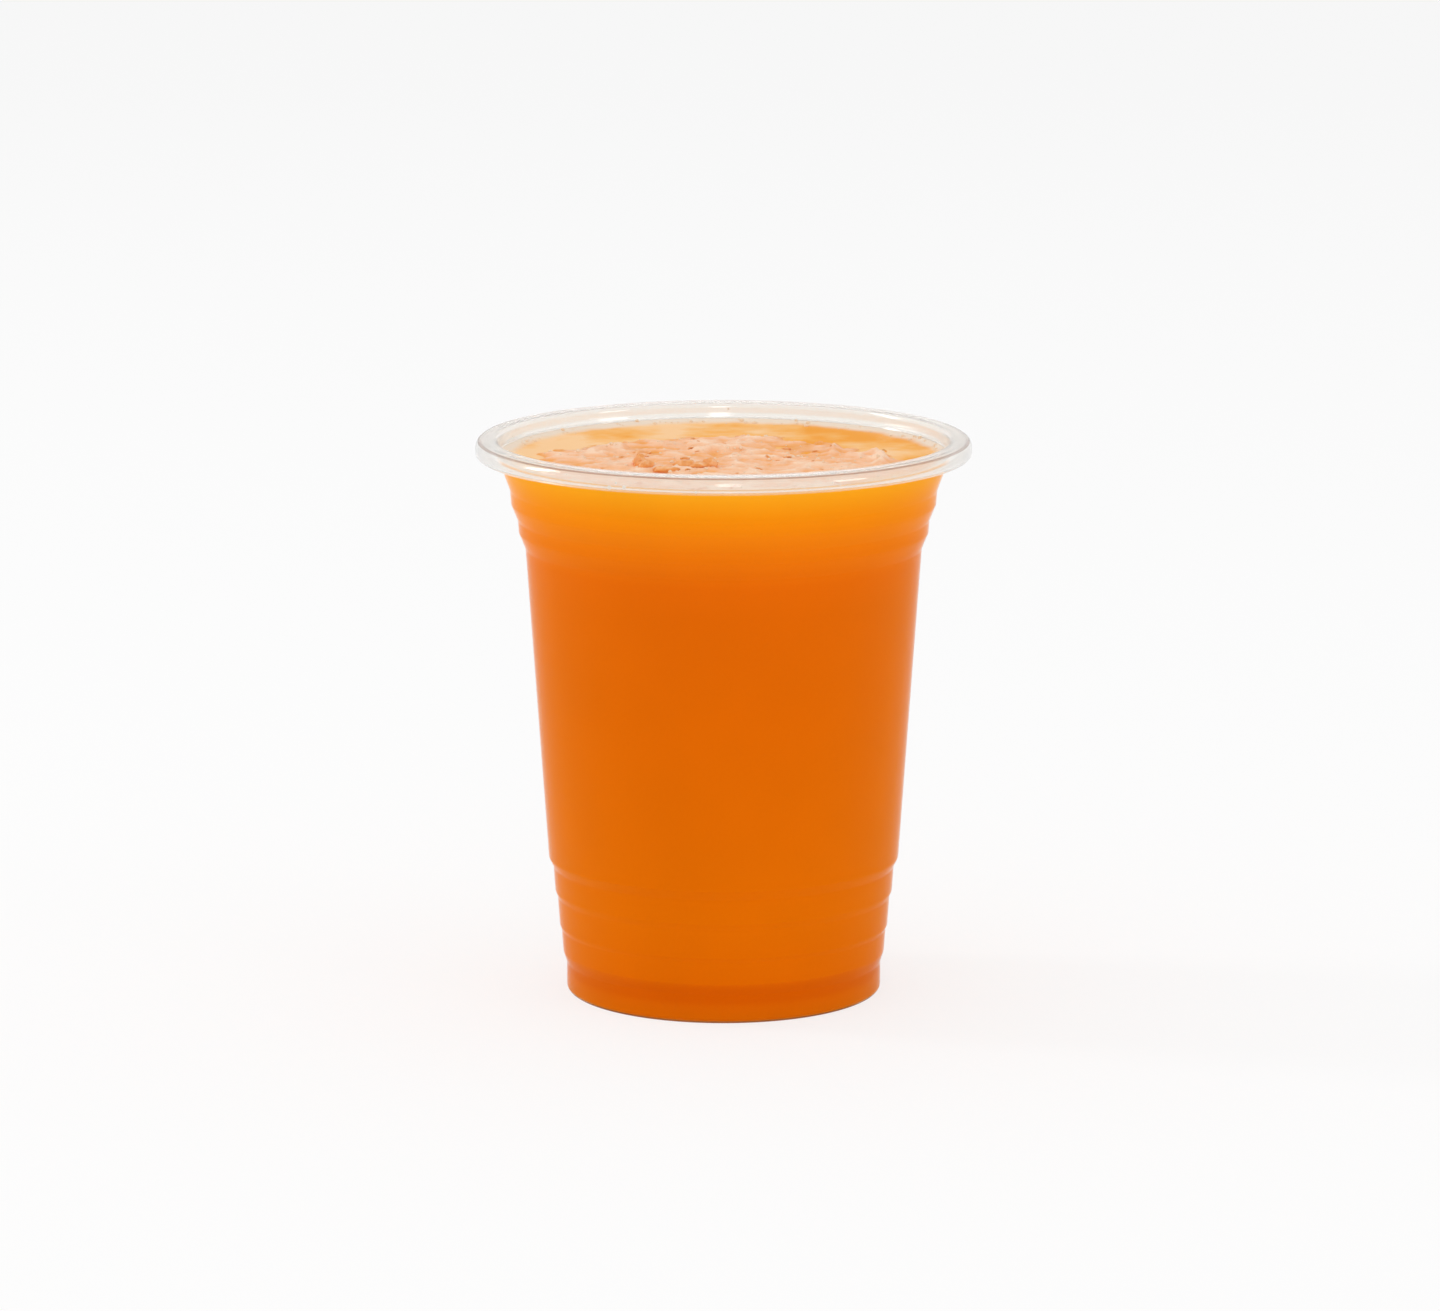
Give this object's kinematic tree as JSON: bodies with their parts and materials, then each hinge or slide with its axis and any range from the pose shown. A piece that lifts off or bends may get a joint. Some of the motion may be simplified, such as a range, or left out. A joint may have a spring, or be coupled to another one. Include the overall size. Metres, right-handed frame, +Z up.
{
  "type": "plastic cup of carrot juice",
  "caption": "Clear disposable plastic cup with a rolled rim and stepped wall, filled almost to the brim with carrot juice that carries a raft of pulpy froth.",
  "frame": {"origin": "on the cup's axis, in the plane that the foot ring stands on", "axes": "+Z up along the cup's axis; -Y is the front, the side that the froth has drifted to"},
  "size_m": [0.095, 0.095, 0.108],
  "materials": {
    "clear_plastic": "clear, thermoformed",
    "carrot_juice": "turbid liquid",
    "juice_froth": "fine wet foam"
  },
  "bodies": {
    "root": {"cup": "clear_plastic", "juice": "carrot_juice", "froth": "juice_froth"}
  },
  "joints": []
}
